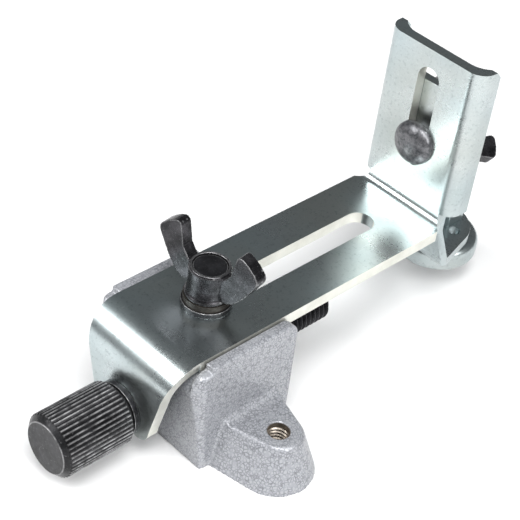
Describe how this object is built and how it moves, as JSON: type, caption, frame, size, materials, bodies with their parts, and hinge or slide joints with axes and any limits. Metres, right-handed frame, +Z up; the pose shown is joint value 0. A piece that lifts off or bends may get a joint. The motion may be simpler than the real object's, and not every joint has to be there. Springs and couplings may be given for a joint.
{
  "type": "screw-adjusted guide bracket",
  "caption": "Cast base with a tapped ear, carrying a slotted, screw-adjusted sheet bracket whose upright holds a height-adjustable guide plate and roller.",
  "frame": {"origin": "point where the clamp screw's axis meets the flat underside of the base", "axes": "+Y along the slotted plate from the knurled knob to the upright, +X to the right seen from the knob, +Z up"},
  "size_m": [0.0542, 0.1397, 0.0728],
  "materials": {
    "zinc_sheet": "bright zinc plated sheet",
    "hammertone_casting": "silver grey hammertone paint",
    "blacked_steel": "black oxide, satin, worn edges",
    "black_cast_wings": "black oxide on a cast surface",
    "phosphate_steel": "dark phosphate, matt",
    "bright_steel": "turned bright steel"
  },
  "bodies": {
    "base": {"base_casting": "hammertone_casting"},
    "bracket": {"slotted_bracket": "zinc_sheet"},
    "adjusting_screw": {"lead_screw": "blacked_steel", "knurled_knob": "blacked_steel", "knob_grub_screw": "blacked_steel", "thrust_washer": "blacked_steel"},
    "clamp_washers": {"clamp_flat_washer": "blacked_steel", "clamp_lock_washer": "phosphate_steel"},
    "clamp_screw": {"clamp_wing_head": "black_cast_wings", "clamp_stud": "blacked_steel"},
    "guide": {"guide_plate": "zinc_sheet", "round_head_bolt": "phosphate_steel", "roller_pivot_screw": "bright_steel", "roller_spacer": "bright_steel", "roller_lock_nut": "zinc_sheet"},
    "rear_washers": {"rear_flat_washer": "blacked_steel", "rear_lock_washer": "phosphate_steel"},
    "rear_nut": {"rear_wing_nut": "black_cast_wings"},
    "roller": {"guide_roller": "zinc_sheet"}
  },
  "joints": [
    {"name": "bracket_slide", "type": "slide", "parent": "base", "child": "bracket", "axis": [0, 1, 0], "range_m": [-0.044, 0.001]},
    {"name": "lead_screw_turn", "type": "hinge", "parent": "bracket", "child": "adjusting_screw", "pos_m": [0, 0, 0.0112], "axis": [0, 1, 0], "range_deg": [-10580, 260]},
    {"name": "clamp_lift", "type": "slide", "parent": "base", "child": "clamp_washers", "axis": [0, 0, 1], "range_m": [0, 0.002]},
    {"name": "clamp_turn", "type": "hinge", "parent": "clamp_washers", "child": "clamp_screw", "pos_m": [0, 0, 0], "axis": [0, 0, 1], "range_deg": [0, 721]},
    {"name": "guide_slide", "type": "slide", "parent": "bracket", "child": "guide", "axis": [0, 0, 1], "range_m": [-0.0004, 0.008]},
    {"name": "rear_clamp_back_off", "type": "slide", "parent": "guide", "child": "rear_washers", "axis": [0, 1, 0], "range_m": [0, 0.002]},
    {"name": "rear_nut_turn", "type": "hinge", "parent": "rear_washers", "child": "rear_nut", "pos_m": [0, 0, 0.0474], "axis": [0, 1, 0], "range_deg": [0, 721]},
    {"name": "roller_spin", "type": "hinge", "parent": "guide", "child": "roller", "pos_m": [0, 0.0846, 0], "axis": [0, 0, 1], "continuous": true}
  ],
  "couplings": [
    {"joint": "lead_screw_turn", "follows": "bracket_slide", "rad_per_m": 4188.8},
    {"joint": "clamp_turn", "follows": "clamp_lift", "rad_per_m": 6283.2},
    {"joint": "rear_nut_turn", "follows": "rear_clamp_back_off", "rad_per_m": 6283.2}
  ]
}
